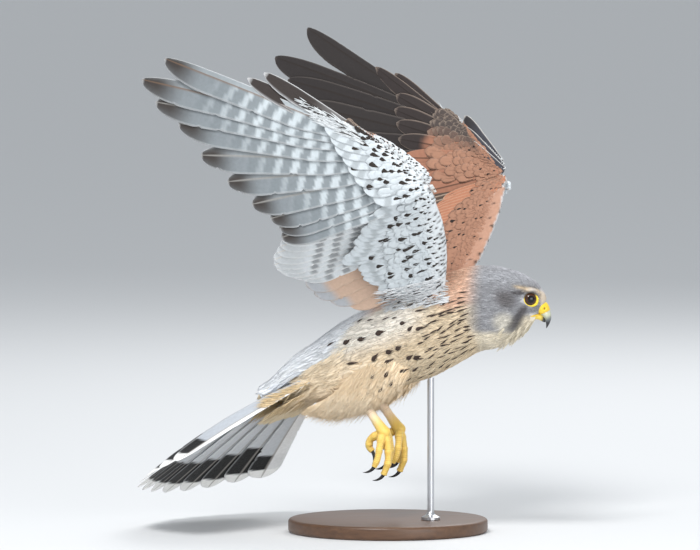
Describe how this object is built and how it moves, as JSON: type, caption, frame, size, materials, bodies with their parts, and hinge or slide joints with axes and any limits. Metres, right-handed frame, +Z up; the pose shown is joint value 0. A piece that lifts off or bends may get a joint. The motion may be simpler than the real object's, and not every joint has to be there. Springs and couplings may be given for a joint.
{
  "type": "common kestrel",
  "caption": "Small falcon braking in the air with wings swept up and back, tail fanned and feet hanging, held by a rod over a round base.",
  "frame": {"origin": "middle of the flat underside of the round base, on the surface it stands on", "axes": "+Z up; +X the way the head points; +Y towards the bird's left wing"},
  "size_m": [0.3064, 0.282, 0.3684],
  "materials": {
    "feather_grey": "soft matt plumage, blue-grey",
    "feather_buff": "soft matt plumage, warm buff",
    "feather_pale": "soft matt plumage, pale grey barred with darker grey",
    "feather_rufous": "soft matt plumage, chestnut above and pale below",
    "horn": "polished dark horn",
    "skin_yellow": "scaled skin, yellow, slight sheen",
    "eye_dark": "clear gloss over dark brown",
    "wood_dark": "satin varnish",
    "steel": "brushed"
  },
  "bodies": {
    "root": {"head": "feather_grey", "cere": "skin_yellow", "bill_upper": "horn", "bill_lower": "horn", "neck": "feather_grey", "torso": "feather_buff", "tail": "feather_pale", "eye_left": "eye_dark", "wing_left_arm": "feather_rufous", "wing_left_hand": "feather_pale", "thigh_left": "feather_buff", "tarsus_left": "skin_yellow", "toe_3_left": "skin_yellow", "claw_3_left": "horn", "toe_1_left": "skin_yellow", "claw_1_left": "horn", "toe_2_left": "skin_yellow", "claw_2_left": "horn", "toe_4_left": "skin_yellow", "claw_4_left": "horn", "eye_right": "eye_dark", "wing_right_arm": "feather_rufous", "wing_right_hand": "feather_pale", "thigh_right": "feather_buff", "tarsus_right": "skin_yellow", "toe_3_right": "skin_yellow", "claw_3_right": "horn", "toe_1_right": "skin_yellow", "claw_1_right": "horn", "toe_2_right": "skin_yellow", "claw_2_right": "horn", "toe_4_right": "skin_yellow", "claw_4_right": "horn", "stand_base": "wood_dark", "stand_rod": "steel"}
  },
  "joints": []
}
